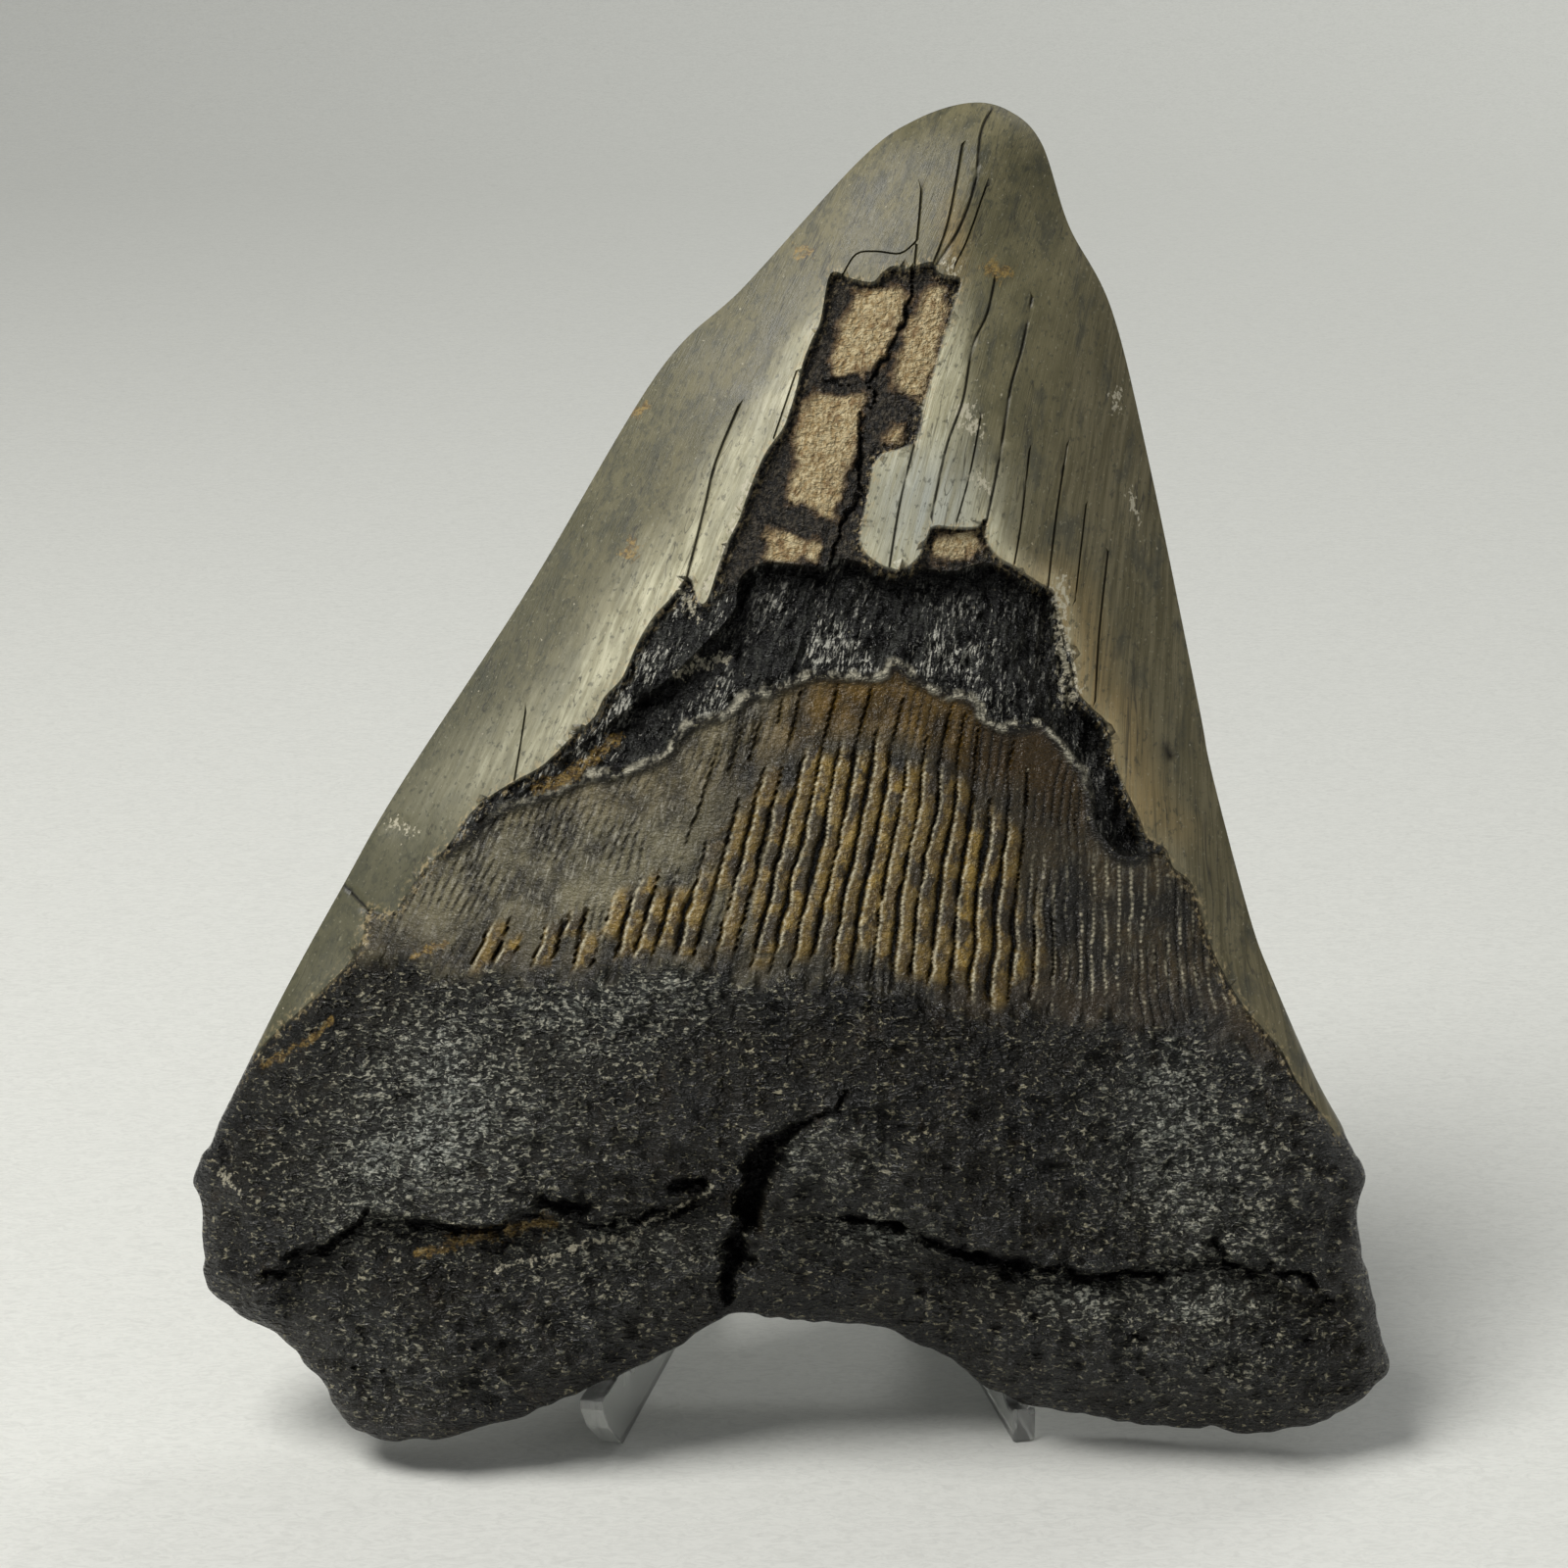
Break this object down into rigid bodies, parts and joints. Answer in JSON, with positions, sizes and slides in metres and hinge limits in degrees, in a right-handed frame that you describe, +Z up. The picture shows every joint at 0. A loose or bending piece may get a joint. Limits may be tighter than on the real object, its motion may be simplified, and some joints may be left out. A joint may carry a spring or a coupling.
{
  "type": "megalodon tooth",
  "caption": "Fossil shark tooth with a worn enamel crown, ribbed bourlette and lobed root, leaning back on a clear display stand.",
  "frame": {"origin": "bottom centre of the whole object's box, on the surface that the stand's feet rest on", "axes": "+Z up through the tooth's tip, +X to the viewer's right, +Y from the shown face towards the stand's back"},
  "size_m": [0.1222, 0.0641, 0.1318],
  "materials": {
    "fossil": "grey-green satin enamel over dull near-black root",
    "clear_acrylic": "clear polished sheet with softly rounded cut edges"
  },
  "bodies": {
    "root": {"tooth": "fossil", "stand_plate_left": "clear_acrylic", "stand_plate_right": "clear_acrylic", "cross_bar": "clear_acrylic"}
  },
  "joints": []
}
